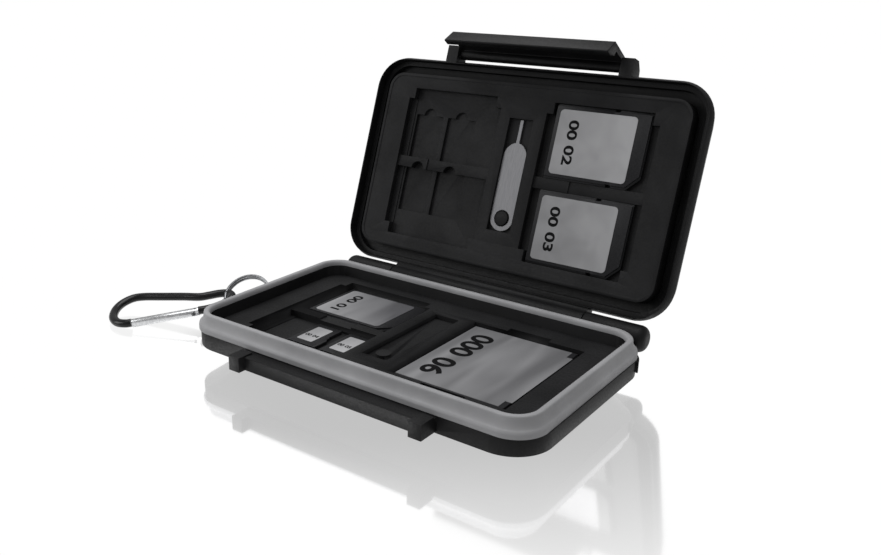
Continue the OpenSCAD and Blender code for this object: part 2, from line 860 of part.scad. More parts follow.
module hook_bar() {
    sides = 12;
    spots = [for (q = hook_path) [q[0], q[1], 0]];
    flat = [for (i = [0:len(hook_path) - 1]) let (h = heading(hook_path, i)) [h[1], -h[0], 0]];
    up = [for (q = hook_path) [0, 0, 1]];
    polyhedron(tube_points(spots, flat, up, hook_a / 2, hook_b / 2, sides), tube_faces(len(spots), sides));
}

module in_gate() {
    in_hook()
        translate([pivot[0], pivot[1], 0])
            rotate([0, 0, gate_turn])
                children();
}

module hook_body() {
    color([0.06, 0.06, 0.06])
        in_hook()
            difference() {
                union() {
                    hook_bar();
                    translate([pivot[0], pivot[1] - 0.75, -tongue / 2])
                        cube([hook_line[0][0] - pivot[0] + 0.3, 1.5, tongue]);
                    translate([pivot[0], pivot[1], -tongue / 2])
                        cylinder(r = 0.95, h = tongue);
                }
                translate([pivot[0], pivot[1], -2])
                    cylinder(r = rivet_r, h = 4);
            }
}

module hook_gate() {
    color([0.8, 0.8, 0.8])
        in_gate()
            difference() {
                translate([1.1, 0, 0])
                    rotate([0, -90, 0])
                        cylinder(r = gate_r, h = norm(pivot - gate_nose) + 1.1);
                // Fork round the hook's tongue
                translate([-1.3, -2, -tongue / 2 - 0.1])
                    cube([4.4, 4, tongue + 0.2]);
                translate([0, 0, -2])
                    cylinder(r = rivet_r + run, h = 4);
                // Bore that houses the spring
                translate([-spring_in, 0, 0])
                    rotate([0, -90, 0])
                        cylinder(r = spring_r + 0.1, h = spring_l);
            }
}

module gate_rivet() {
    color([0.75, 0.75, 0.75])
        in_gate()
            translate([0, 0, -gate_r])
                cylinder(r = rivet_r, h = 2 * gate_r);
}

module gate_spring() {
    color([0.6, 0.6, 0.6])
        in_gate()
            translate([-spring_in, 0, 0])
                rotate([0, -90, 0])
                    cylinder(r = spring_r, h = spring_l);
}

base_shell();
seal_ring();
base_tray();
lid_shell();
lid_tray();
hinge_pin();
latch();
latch_pin();
sd_card_base();
sd_card_lid_upper();
sd_card_lid_lower();
sd_label_base();
sd_label_lid_upper();
sd_label_lid_lower();
micro_card_left();
micro_card_right();
micro_label_left();
micro_label_right();
cf_card();
cf_label();
sim_tool();
split_ring();
hook_body();
hook_gate();
gate_rivet();
gate_spring();
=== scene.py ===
"""Looks of a hinged memory card case, shown open with its cards, eject tool and snap hook."""

import json
import math

import bmesh
import bpy
from mathutils import Euler, Matrix, Vector


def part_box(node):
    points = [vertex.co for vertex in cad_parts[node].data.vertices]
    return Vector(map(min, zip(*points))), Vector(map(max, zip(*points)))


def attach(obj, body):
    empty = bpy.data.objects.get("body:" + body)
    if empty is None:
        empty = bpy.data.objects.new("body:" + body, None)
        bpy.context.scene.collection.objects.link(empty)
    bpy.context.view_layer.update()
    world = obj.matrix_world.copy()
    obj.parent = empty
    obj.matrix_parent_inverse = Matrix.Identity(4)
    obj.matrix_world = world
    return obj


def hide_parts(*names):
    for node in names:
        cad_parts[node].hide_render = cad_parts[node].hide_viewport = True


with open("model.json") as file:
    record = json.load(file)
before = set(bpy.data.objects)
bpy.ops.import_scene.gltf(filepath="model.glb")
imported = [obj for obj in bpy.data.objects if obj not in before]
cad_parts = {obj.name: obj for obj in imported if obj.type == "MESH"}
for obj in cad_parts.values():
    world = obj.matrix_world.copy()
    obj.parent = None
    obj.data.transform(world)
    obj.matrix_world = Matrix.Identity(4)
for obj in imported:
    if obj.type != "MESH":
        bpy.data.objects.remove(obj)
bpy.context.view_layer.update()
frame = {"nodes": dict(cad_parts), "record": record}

bl_info = {
    "name": "Memory card case",
    "version": (1, 0, 0),
    "blender": (4, 5, 0),
    "location": "View3D > Sidebar > Card case",
    "description": "Dresses a hinged memory card case and sets its studio",
    "category": "Object",
}

MM = 0.001
UP = Vector((0, 0, 1))
BODIES = frame["record"]["behaviour"]["bodies"]
BODY_OF = {node: body for body, nodes in BODIES.items() for node in nodes}

# The lid's hinge, the ring's place in its eye and the hook's on the ring, as in the solids.
# HOOK_TURN is in degrees, and HOOK_HANG, the point of the hook that hangs there, in millimetres.
HINGE = Vector((0, 0.04106, 0.01208))
LID_TURN = math.radians(71)
RING_AT = Vector((-0.06266, 0.0012, 0.00765))
HOOK_AT = Vector((-0.0791395, -0.00499491, 0.00745751))
HOOK_TURN = (8, -9.7, 42.5)
HOOK_HANG = (36.85, -1.05)

# The split ring and the hook's bar as they lie in the photo, in metres. RING_STEP, where the wire
# crosses over, is in degrees. HOOK_LINE and GATE_NOSE are in millimetres, in the hook's own frame.
RING_MIDDLE = Vector((-0.070226, 0.001056, 0.009072))
RING_AXIS = Vector((-0.1643, 0.5501, -0.8188))
RING_PITCH = 1.12 * MM
RING_STEP = (330, 390)
HOOK_LIFT = 0.27 * MM
HOOK_LINE = (
    (31.2, -7.95), (34.6, -8.0), (38.4, -7.0), (41.2, -4.8), (42.2, -1.9), (40.8, 0.6), (37.6, 1.6),
    (34.0, 1.6), (30.6, 1.9), (25.0, 4.3), (17.0, 7.4), (10.0, 10.0), (6.0, 10.2), (2.6, 7.6),
    (0.9, 3.4), (1.0, -1.6), (3.0, -5.6), (6.0, -7.4), (8.0, -7.6),
)
GATE_NOSE = (8.4, -7.78)
GATE_SCALE = (1.035, 1.3, 1.3)

# The camera that was fitted to the photo: pixels, metres, and degrees of azimuth, fall and roll
PHOTO_SIZE = (881, 555)
FOCAL_LENGTH = 914.55
LENS_CENTRE = (383.83, 272.5)
SENSOR_WIDTH = 36
CAMERA_AT = (0.14649, -0.20465, 0.12012)
CAMERA_TURN = (37.43, 19.2, 0.2)

# The floor's mirror fades along a heading towards the viewer, and beside the case to a share.
# GLOSS_RETURN is how much of the surroundings the floor's gloss gives back, and MATT_SKY how
# bright the surroundings are to matt faces.
FLOOR_HALF = 3.0
FADE_HEADING = Vector((0.608, -0.794, 0))
FADE = (0.03, 0.14)
SIDE_FADE = (-0.085, -0.055)
SIDE_SHARE = 0.25
GLOSS_RETURN = 0.78
MATT_SKY = 0.5

# From the middle of a label to its face, and from there to the ink
LABEL_RISE = 0.06 * MM
INK_RISE = 0.02 * MM


def turned(degrees):
    """Matrix of a turn given as three angles about X, Y and Z."""
    return Euler([math.radians(a) for a in degrees], "XYZ").to_matrix().to_4x4()


def lid_matrix():
    """The lid's own frame: x along the hinge, y from the hinge to the latch, z into the case."""
    return Matrix.Translation(HINGE) @ Matrix.Rotation(LID_TURN, 4, "X")


def hook_matrix():
    """The hook's own frame, in which its bar lies flat."""
    hang = Matrix.Translation((-HOOK_HANG[0] * MM, -HOOK_HANG[1] * MM, 0))
    return Matrix.Translation(HOOK_AT) @ turned(HOOK_TURN) @ hang


def ring_matrix():
    """The split ring's own frame: its middle at the origin, x towards the eye, z on its axis."""
    out = (RING_AT - RING_MIDDLE).normalized()
    side = RING_AXIS.cross(out).normalized()
    turn = Matrix((out, side, out.cross(side))).transposed().to_4x4()
    return Matrix.Translation(RING_MIDDLE) @ turn


def arc(radius, angles):
    """Points at the given degrees of a circle about the origin."""
    turns = [math.radians(a) for a in angles]
    return [(radius * math.cos(turn), radius * math.sin(turn)) for turn in turns]


def extent(points):
    """Lowest and highest corner of the box round some points."""
    low = Vector(min(p[i] for p in points) for i in range(3))
    high = Vector(max(p[i] for p in points) for i in range(3))
    return low, high


# Colours and nodes


def linear(hex_colour):
    """sRGB hex to the linear colour that the shaders take."""
    values = [int(hex_colour[i : i + 2], 16) / 255 for i in (1, 3, 5)]
    return [v / 12.92 if v <= 0.04045 else ((v + 0.055) / 1.055) ** 2.4 for v in values] + [1.0]


def add_node(tree, kind, settings=None, inputs=None):
    """Adds a node, sets its properties and values, and links any socket given as an input."""
    node = tree.nodes.new(kind)
    for name, value in (settings or {}).items():
        setattr(node, name, value)
    for name, value in (inputs or {}).items():
        if isinstance(value, bpy.types.NodeSocket):
            tree.links.new(value, node.inputs[name])
        else:
            node.inputs[name].default_value = value
    return node


def cleared(owner):
    """The emptied node tree of a material or a world."""
    owner.use_nodes = True
    owner.node_tree.nodes.clear()
    return owner.node_tree


def new_material(name, values=None):
    """A material with one shader that has the given values, and its object coordinates."""
    material = bpy.data.materials.new(name)
    tree = cleared(material)
    shader = add_node(tree, "ShaderNodeBsdfPrincipled", None, values)
    add_node(tree, "ShaderNodeOutputMaterial", None, {"Surface": shader.outputs["BSDF"]})
    place = add_node(tree, "ShaderNodeTexCoord").outputs["Object"]
    return material, tree, shader, place


def maths(tree, operation, first, second):
    """Result of one operation on two numbers or sockets."""
    return add_node(
        tree, "ShaderNodeMath", {"operation": operation}, {0: first, 1: second}
    ).outputs[0]


def remap(tree, value, start=0.0, end=1.0, low=0.0, high=1.0, kind="LINEAR"):
    """Carries a value from the stretch between start and end to the one between low and high."""
    stretch = {"Value": value, "From Min": start, "From Max": end, "To Min": low, "To Max": high}
    node = add_node(tree, "ShaderNodeMapRange", {"interpolation_type": kind}, stretch)
    return node.outputs["Result"]


def noise(tree, place, size, **values):
    """Noise with cells of a size in metres."""
    inputs = {"Vector": place, "Scale": 1 / size, **values}
    return add_node(tree, "ShaderNodeTexNoise", None, inputs).outputs["Fac"]


def grain(tree, shader, place, size, depth, strength, detail=3.0):
    """Bump from a fine noise: size and depth are in metres. Returns the noise."""
    fine = noise(tree, place, size, Detail=detail)
    relief = {"Height": fine, "Strength": strength, "Distance": depth}
    bump = add_node(tree, "ShaderNodeBump", None, relief)
    tree.links.new(bump.outputs["Normal"], shader.inputs["Normal"])
    return fine


def tint(tree, shader, factor, low, high, spread=0.12):
    """Colour that goes from one tone to another over a spread about the factor's middle."""
    node = add_node(tree, "ShaderNodeValToRGB", None, {"Fac": factor})
    stops = ((0.5 - spread, low), (0.5 + spread, high))
    for mark, (position, tone) in zip(node.color_ramp.elements, stops):
        mark.position = position
        mark.color = linear(tone)
    tree.links.new(node.outputs["Color"], shader.inputs["Base Color"])


def roughen(tree, shader, factor, low, high):
    """Roughness that drifts a little between two values."""
    rough = remap(tree, factor, 0.35, 0.65, low, high)
    tree.links.new(rough, shader.inputs["Roughness"])


# Materials


def moulded_abs(props):
    """ABS from a spark-eroded mould: an even fine grain that breaks up every highlight."""
    material, tree, shader, place = new_material("moulded_abs", {"Specular IOR Level": 0.16})
    fine = grain(tree, shader, place, 0.45 * MM, 0.02 * MM, 0.25)
    tint(tree, shader, noise(tree, place, 9 * MM), "#0F0F10", props.shell_tone)
    roughen(tree, shader, fine, 0.42, 0.58)
    return material


def matt_tray(props):
    """ABS tray from a bead-blasted mould: flatter and a little greyer than the shells."""
    material, tree, shader, place = new_material("matt_tray_abs", {"Specular IOR Level": 0.16})
    fine = grain(tree, shader, place, 0.6 * MM, 0.015 * MM, 0.2)
    tint(tree, shader, noise(tree, place, 14 * MM), "#161617", props.tray_tone)
    roughen(tree, shader, fine, 0.52, 0.66)
    return material


def seal_elastomer(props):
    """Compression-moulded elastomer: soft, even and dull, with a faint mottle."""
    material, tree, shader, place = new_material("seal_elastomer", {"Specular IOR Level": 0.35})
    fine = grain(tree, shader, place, 0.8 * MM, 0.02 * MM, 0.12)
    tint(tree, shader, noise(tree, place, 11 * MM), "#909092", props.seal_tone)
    roughen(tree, shader, fine, 0.55, 0.7)
    return material


def card_plastic(props):
    """Card housing of filled polycarbonate: satin, with a fine mould grain."""
    material, tree, shader, place = new_material("card_polycarbonate", {"Specular IOR Level": 0.2})
    fine = grain(tree, shader, place, 0.35 * MM, 0.01 * MM, 0.2)
    tint(tree, shader, fine, "#19191B", props.card_tone)
    roughen(tree, shader, fine, 0.38, 0.5)
    return material


def label_film_painted_sheen(node, dark, light, reach, heading, cloud):
    """Printed polyester film with a painted sheen: a painted reflection fading along a heading,
    with painted streaks of a bright room in it.

    The painted sheen goes from dark to light over a reach in metres about the label's middle,
    and the last argument is the painted streaks' share in it.
    """
    material, tree, shader, place = new_material(node + "_film", {"Roughness": 0.34})
    along = Vector(heading).normalized()
    shifted = add_node(
        tree, "ShaderNodeVectorMath", {"operation": "SUBTRACT"}, {0: place, 1: middle_of(node)}
    )
    distance = add_node(
        tree,
        "ShaderNodeVectorMath",
        {"operation": "DOT_PRODUCT"},
        {0: shifted.outputs["Vector"], 1: along},
    )
    # Painted sheen: the colour goes from dark to light along the heading, in place of the room's
    # light mirrored in the film.
    painted_sheen = remap(tree, distance.outputs["Value"], -reach / 2, reach / 2)
    # Painted reflection: stretched, leant noise streaks stand in for bright things mirrored in the
    # film.
    lean = {"Vector": place, "Rotation": (0, 0, math.radians(-20)), "Scale": (1, 0.16, 1)}
    leant = add_node(tree, "ShaderNodeMapping", None, lean).outputs["Vector"]
    painted_streaks = remap(tree, noise(tree, leant, 7 * MM, Detail=1.0, Distortion=0.4), 0.3, 0.7)
    mixed = add_node(
        tree, "ShaderNodeMix", {"data_type": "FLOAT"}, {"Factor": cloud, "A": painted_sheen, "B": painted_streaks}
    )
    tint(tree, shader, mixed.outputs["Result"], dark, light, spread=0.35)
    grain(tree, shader, place, 0.5 * MM, 0.005 * MM, 0.08, detail=2.0)
    return material


def printing_ink():
    """Screen-printed ink: dense, dull and slightly uneven."""
    values = {"Roughness": 0.6, "Specular IOR Level": 0.08}
    material, tree, shader, place = new_material("printing_ink", values)
    fine = grain(tree, shader, place, 0.25 * MM, 0.004 * MM, 0.1)
    tint(tree, shader, fine, "#080809", "#0E0E0F")
    return material


def stamped_steel():
    """Stainless sheet, blanked and barrel-finished: dull grey, with fine lines along its length."""
    material, tree, shader, place = new_material("stamped_stainless", {"Metallic": 0.85})
    stretched = add_node(
        tree, "ShaderNodeMapping", None, {"Vector": place, "Scale": (1, 0.08, 0.08)}
    )
    lines = noise(tree, stretched.outputs["Vector"], 0.3 * MM)
    tint(tree, shader, lines, "#77777A", "#89898B")
    roughen(tree, shader, lines, 0.5, 0.62)
    return material


def drawn_steel():
    """Nickel-plated spring wire: grey and half bright, with faint draw lines."""
    material, tree, shader, place = new_material("nickelled_wire", {"Metallic": 1.0})
    fine = grain(tree, shader, place, 0.6 * MM, 0.004 * MM, 0.1)
    tint(tree, shader, fine, "#737476", "#8A8B8D")
    roughen(tree, shader, fine, 0.24, 0.34)
    return material


def gate_aluminium():
    """Drawn aluminium rod, left bright: pale, with a faint grain."""
    material, tree, shader, place = new_material("drawn_aluminium", {"Metallic": 1.0})
    fine = grain(tree, shader, place, 0.8 * MM, 0.003 * MM, 0.08)
    tint(tree, shader, fine, "#C2C3C5", "#D9DADB")
    roughen(tree, shader, fine, 0.24, 0.32)
    return material


def hook_lacquer(props):
    """Black lacquer baked on cast zinc: smooth and glossy, with a slight orange peel."""
    material, tree, shader, place = new_material("baked_black_lacquer", {"Specular IOR Level": 0.3})
    peel = grain(tree, shader, place, 1.4 * MM, 0.02 * MM, 0.15)
    tint(tree, shader, peel, "#0A0A0B", props.hook_tone)
    roughen(tree, shader, peel, 0.16, 0.26)
    return material


def studio_floor(props):
    """Polished white sheet under even light, as in a cut-out product picture.

    To the eye it is white and mirrors the case softly, less and less towards the viewer. What its
    gloss gives back of the surroundings is taken off the white, so that open floor stays white.
    To every other ray it is matt, and lights the case from below.
    """
    material = bpy.data.materials.new("polished_acrylic_floor")
    tree = cleared(material)
    place = add_node(tree, "ShaderNodeTexCoord").outputs["Object"]
    distance = add_node(
        tree, "ShaderNodeVectorMath", {"operation": "DOT_PRODUCT"}, {0: place, 1: FADE_HEADING}
    )
    near = remap(tree, distance.outputs["Value"], *FADE, props.mirror, 0.0, "SMOOTHSTEP")
    across = add_node(tree, "ShaderNodeSeparateXYZ", None, {"Vector": place})
    beside = remap(tree, across.outputs["X"], *SIDE_FADE, SIDE_SHARE, 1.0, "SMOOTHSTEP")
    mirror = maths(tree, "MULTIPLY", near, beside)
    taken = maths(tree, "MULTIPLY", mirror, props.gloss_sky * GLOSS_RETURN)
    white = maths(tree, "SUBTRACT", 1.0, taken)
    light = add_node(tree, "ShaderNodeEmission", None, {"Strength": white}).outputs[0]
    shine = {"Color": mirror, "Roughness": 0.07}
    gloss = add_node(tree, "ShaderNodeBsdfAnisotropic", None, shine).outputs[0]
    sheen = add_node(tree, "ShaderNodeAddShader", None, {0: light, 1: gloss}).outputs[0]
    dull = {"Color": linear("#C4C4C4")}
    matt = add_node(tree, "ShaderNodeBsdfDiffuse", None, dull).outputs[0]
    path = add_node(tree, "ShaderNodeLightPath").outputs
    seen = maths(tree, "MAXIMUM", path["Is Camera Ray"], path["Is Glossy Ray"])
    both = add_node(tree, "ShaderNodeMixShader", None, {0: seen, 1: matt, 2: sheen})
    add_node(tree, "ShaderNodeOutputMaterial", None, {"Surface": both.outputs[0]})
    return material


# Pieces


def middle_of(node):
    """Middle of a solid's box."""
    lowest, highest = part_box(node)
    return (Vector(lowest) + Vector(highest)) / 2


def placed(name, data):
    """A new object in the scene."""
    item = bpy.data.objects.new(name, data)
    bpy.context.scene.collection.objects.link(item)
    return item


def baked(holder, name):
    """Turns an object with live modifiers or a curve into a plain mesh object of its own."""
    bpy.context.view_layer.update()
    depsgraph = bpy.context.evaluated_depsgraph_get()
    mesh = bpy.data.meshes.new_from_object(holder.evaluated_get(depsgraph))
    bpy.data.objects.remove(holder, do_unlink=True)
    return placed(name, mesh)


def dress(piece, material):
    """Gives a piece one material."""
    piece.data.materials.clear()
    piece.data.materials.append(material)


def finish_piece(piece, node, material):
    """Gives a piece its material and its body, and lets it stand for its solid."""
    dress(piece, material)
    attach(piece, BODY_OF[node])
    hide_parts(node)


def soft_edged(node, radius, material, limit=38):
    """A copy of a solid with its sharp edges broken by a small radius, as a moulded part has.

    Edges that turn by more than limit degrees are the sharp ones. With a radius of 0 they stay.
    """
    same_place, same_plane = 0.004 * MM, math.radians(0.6)
    mesh = frame["nodes"][node].data.copy()
    shape = bmesh.new()
    shape.from_mesh(mesh)
    bmesh.ops.remove_doubles(shape, verts=shape.verts, dist=same_place)
    bmesh.ops.dissolve_limit(
        shape,
        angle_limit=same_plane,
        verts=shape.verts,
        edges=shape.edges,
        use_dissolve_boundaries=False,
    )
    for face in shape.faces:
        face.smooth = True
    shape.to_mesh(mesh)
    shape.free()
    holder = placed("holder", mesh)
    if radius > 0:
        edge = holder.modifiers.new("edges", "BEVEL")
        edge.width = radius
        edge.segments = 2
        edge.limit_method = "ANGLE"
        edge.angle_limit = math.radians(limit)
        edge.harden_normals = True
        edge.use_clamp_overlap = True
        edge.miter_outer = "MITER_ARC"
    piece = baked(holder, node + "_dressed")
    if radius == 0:
        piece.data.set_sharp_from_angle(angle=math.radians(limit))
    finish_piece(piece, node, material)
    return piece


def bar_tree():
    """Geometry nodes that carry an oval section along a path."""
    tree = bpy.data.node_groups.new("oval_bar", "GeometryNodeTree")
    for name, kind in (
        ("Path", "Geometry"),
        ("Width", "Float"),
        ("Thickness", "Float"),
        ("Sides", "Int"),
        ("Finish", "Material"),
    ):
        tree.interface.new_socket(name, in_out="INPUT", socket_type="NodeSocket" + kind)
    tree.interface.new_socket("Bar", in_out="OUTPUT", socket_type="NodeSocketGeometry")
    given = add_node(tree, "NodeGroupInput").outputs
    axes = {"X": given["Width"], "Y": given["Thickness"], "Z": 1.0}
    size = add_node(tree, "ShaderNodeCombineXYZ", None, axes)
    round_section = {"Resolution": given["Sides"], "Radius": 0.5}
    circle = add_node(tree, "GeometryNodeCurvePrimitiveCircle", None, round_section)
    oval = {"Geometry": circle.outputs["Curve"], "Scale": size.outputs["Vector"]}
    section = add_node(tree, "GeometryNodeTransform", None, oval).outputs["Geometry"]
    upright = add_node(
        tree, "GeometryNodeSetCurveNormal", {"mode": "Z_UP"}, {"Curve": given["Path"]}
    ).outputs["Curve"]
    sweep = {"Curve": upright, "Profile Curve": section, "Fill Caps": True}
    bar = add_node(tree, "GeometryNodeCurveToMesh", None, sweep).outputs["Mesh"]
    for kind in ("GeometryNodeSetShadeSmooth", "GeometryNodeRealizeInstances"):
        bar = add_node(tree, kind, None, {"Geometry": bar}).outputs["Geometry"]
    finish = {"Geometry": bar, "Material": given["Finish"]}
    bar = add_node(tree, "GeometryNodeSetMaterial", None, finish).outputs["Geometry"]
    add_node(tree, "NodeGroupOutput", None, {"Bar": bar})
    return tree


def add_run(curve, points, closed=False):
    """Adds a line of straight stretches through points to a curve."""
    run = curve.splines.new("POLY")
    run.use_cyclic_u = closed
    run.points.add(len(points) - 1)
    for spot, point in zip(run.points, points):
        spot.co = (*point, 1.0)


def swept_bar(name, points, width, thickness, sides, material, matrix):
    """An oval bar along points, which are in metres in the frame that the matrix gives."""
    line = bpy.data.curves.new("path", "CURVE")
    line.dimensions = "3D"
    add_run(line, points)
    holder = placed("holder", line)
    tree = bpy.data.node_groups.get("oval_bar") or bar_tree()
    live = holder.modifiers.new("bar", "NODES")
    live.node_group = tree
    values = {"Width": width, "Thickness": thickness, "Sides": sides, "Finish": material}
    for item in tree.interface.items_tree:
        if item.in_out == "INPUT" and item.name in values:
            live[item.identifier] = values[item.name]
    piece = baked(holder, name)
    shape = bmesh.new()
    shape.from_mesh(piece.data)
    bmesh.ops.remove_doubles(shape, verts=shape.verts, dist=0.0005 * MM)
    bmesh.ops.recalc_face_normals(shape, faces=shape.faces)
    shape.to_mesh(piece.data)
    shape.free()
    piece.data.set_sharp_from_angle(angle=math.radians(50))
    piece.data.transform(matrix)
    return piece


def between(a, b, c, d, t):
    """Value at t of the way from b to c, on a smooth line through four values."""
    return 0.5 * (
        2 * b
        + (c - a) * t
        + (2 * a - 5 * b + 4 * c - d) * t * t
        + (3 * b - a - 3 * c + d) * t**3
    )


def eased(points, steps):
    """Points on a smooth line through the given ones."""
    out = []
    for i in range(len(points) - 1):
        a, b = points[max(i - 1, 0)], points[i]
        c, d = points[i + 1], points[min(i + 2, len(points) - 1)]
        for k in range(steps):
            out.append([between(a[j], b[j], c[j], d[j], k / steps) for j in range(2)])
    return out + [list(points[-1])]


def index_number(name, text, length, height, corner, axes, body, ink):
    """Flat printed digits on a label, in a line of a length and a height in metres.

    corner is where the line starts. axes are the ways along the line, towards the digits' tops
    and out of the label.
    """
    words = bpy.data.curves.new("digits", "FONT")
    words.body = text
    words.size = 1.0
    words.offset = 0.03  # makes the strokes bolder
    piece = baked(placed("holder", words), name)
    low, high = extent([v.co for v in piece.data.vertices])
    scale = Matrix.Diagonal((length / (high.x - low.x), height / (high.y - low.y), 1, 1))
    place = Matrix(axes).transposed().to_4x4()
    place.translation = corner + axes[2] * INK_RISE
    piece.data.transform(place @ scale @ Matrix.Translation(-low))
    dress(piece, ink)
    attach(piece, body)


# Settings that a user may change


class CardCaseSettings(bpy.types.PropertyGroup):
    shell_edge: bpy.props.FloatProperty(
        name="Shell edge",
        description="Radius on the shells' edges",
        default=0.00028,
        unit="LENGTH",
    )
    tray_edge: bpy.props.FloatProperty(
        name="Tray edge",
        description="Radius on the lid tray's edges",
        default=0.00018,
        unit="LENGTH",
    )
    card_edge: bpy.props.FloatProperty(
        name="Card edge",
        description="Radius on the edges of the cards and the eject tool",
        default=0.00012,
        unit="LENGTH",
    )
    hook_width: bpy.props.FloatProperty(
        name="Hook width",
        description="Width of the hook's bar in its plane",
        default=0.0031,
        unit="LENGTH",
    )
    hook_depth: bpy.props.FloatProperty(
        name="Hook depth",
        description="Thickness of the hook's bar",
        default=0.0027,
        unit="LENGTH",
    )
    ring_radius: bpy.props.FloatProperty(
        name="Ring radius",
        description="Radius of the split ring at its wire",
        default=0.0077,
        unit="LENGTH",
    )
    wire: bpy.props.FloatProperty(
        name="Ring wire",
        description="Diameter of the split ring's wire",
        default=0.00105,
        unit="LENGTH",
    )
    shell_tone: bpy.props.StringProperty(
        name="Shell", description="Lighter tone of the shells, as sRGB hex", default="#151516"
    )
    tray_tone: bpy.props.StringProperty(
        name="Tray", description="Lighter tone of the trays, as sRGB hex", default="#1F1F20"
    )
    seal_tone: bpy.props.StringProperty(
        name="Seal", description="Lighter tone of the seal, as sRGB hex", default="#9A9A9C"
    )
    card_tone: bpy.props.StringProperty(
        name="Cards", description="Lighter tone of the cards, as sRGB hex", default="#222224"
    )
    hook_tone: bpy.props.StringProperty(
        name="Hook", description="Lighter tone of the hook, as sRGB hex", default="#111112"
    )
    mirror: bpy.props.FloatProperty(
        name="Floor mirror",
        description="How much the floor mirrors beside the case",
        default=1.1,
        subtype="FACTOR",
    )
    gloss_sky: bpy.props.FloatProperty(
        name="Gloss",
        description="Brightness of the surroundings in a gloss",
        default=0.55,
        subtype="FACTOR",
    )


# Operators


class CARDCASE_OT_studio(bpy.types.Operator):
    """Adds the floor, the soft light and the camera"""

    bl_idname = "cardcase.studio"
    bl_label = "Studio"

    def execute(self, context):
        props = context.scene.card_case
        self.floor(props)
        self.sky(context, props)
        self.lamp("overhead", place=(-0.15, 0.1, 0.75), aim=(0, 0.02, 0.02), size=0.7, power=4.2)
        self.lamp("left_front", place=(-0.55, -0.5, 0.35), aim=(0, 0, 0.02), size=0.4, power=1.6)
        self.camera(context)
        context.scene.view_settings.view_transform = "Standard"
        return {"FINISHED"}

    def floor(self, props):
        """One flat sheet under the case."""
        mesh = bpy.data.meshes.new("studio_floor")
        half = FLOOR_HALF
        corners = [(-half, -half, 0), (half, -half, 0), (half, half, 0), (-half, half, 0)]
        mesh.from_pydata(corners, [], [(0, 1, 2, 3)])
        mesh.materials.append(studio_floor(props))
        floor = placed("studio_floor", mesh)

    def sky(self, context, props):
        """Even light from all round: full to the camera, less in a gloss and on matt faces."""
        world = bpy.data.worlds.new("studio")
        context.scene.world = world
        tree = cleared(world)
        path = add_node(tree, "ShaderNodeLightPath").outputs
        lit = remap(tree, path["Is Glossy Ray"], low=MATT_SKY, high=props.gloss_sky)
        level = remap(tree, path["Is Camera Ray"], low=lit, high=1.0)
        sky = add_node(tree, "ShaderNodeBackground", None, {"Strength": level})
        add_node(tree, "ShaderNodeOutputWorld", None, {"Surface": sky.outputs[0]})

    def lamp(self, name, place, aim, size, power):
        """One square soft light, aimed at a point."""
        light = bpy.data.lights.new(name, "AREA")
        light.size = size
        light.energy = power
        lamp = placed(name, light)
        lamp.location = place
        aimed = (Vector(aim) - Vector(place)).to_track_quat("-Z", "Y")
        lamp.rotation_euler = aimed.to_euler()

    def camera(self, context):
        """The camera that was fitted to the photo."""
        width, height = PHOTO_SIZE
        view = bpy.data.cameras.new("camera")
        view.sensor_width = SENSOR_WIDTH
        view.lens = FOCAL_LENGTH * SENSOR_WIDTH / width
        view.shift_x = (width / 2 - LENS_CENTRE[0]) / width
        view.shift_y = (LENS_CENTRE[1] - height / 2) / width
        view.clip_start = 0.01
        camera = placed("camera", view)
        az, el, roll = (math.radians(a) for a in CAMERA_TURN)
        level = math.cos(el)
        ahead = Vector((-math.sin(az) * level, math.cos(az) * level, -math.sin(el)))
        aimed = ahead.to_track_quat("-Z", "Y").to_matrix().to_4x4()
        camera.location = CAMERA_AT
        camera.rotation_euler = (aimed @ Matrix.Rotation(roll, 4, "Z")).to_euler()
        context.scene.camera = camera


class CARDCASE_OT_shells(bpy.types.Operator):
    """Dresses the base, the lid and the latch in moulded plastic with soft edges"""

    bl_idname = "cardcase.shells"
    bl_label = "Shells and latch"

    def execute(self, context):
        props = context.scene.card_case
        plastic = moulded_abs(props)
        for node in ("base_shell", "lid_shell", "latch"):
            soft_edged(node, props.shell_edge, plastic)
        return {"FINISHED"}


class CARDCASE_OT_seal(bpy.types.Operator):
    """Dresses the seal in grey elastomer"""

    bl_idname = "cardcase.seal"
    bl_label = "Seal"

    def execute(self, context):
        soft_edged("seal_ring", 0, seal_elastomer(context.scene.card_case), limit=42)
        return {"FINISHED"}


class CARDCASE_OT_trays(bpy.types.Operator):
    """Dresses both card trays in matt plastic"""

    bl_idname = "cardcase.trays"
    bl_label = "Trays"

    def execute(self, context):
        props = context.scene.card_case
        plastic = matt_tray(props)
        soft_edged("base_tray", 0, plastic)
        soft_edged("lid_tray", props.tray_edge, plastic)
        return {"FINISHED"}


class CARDCASE_OT_cards(bpy.types.Operator):
    """Dresses the memory cards"""

    bl_idname = "cardcase.cards"
    bl_label = "Cards"

    def execute(self, context):
        props = context.scene.card_case
        plastic = card_plastic(props)
        cards = ("sd_card_base", "sd_card_lid_upper", "sd_card_lid_lower", "cf_card")
        for node in cards + ("micro_card_left", "micro_card_right"):
            soft_edged(node, props.card_edge, plastic)
        return {"FINISHED"}


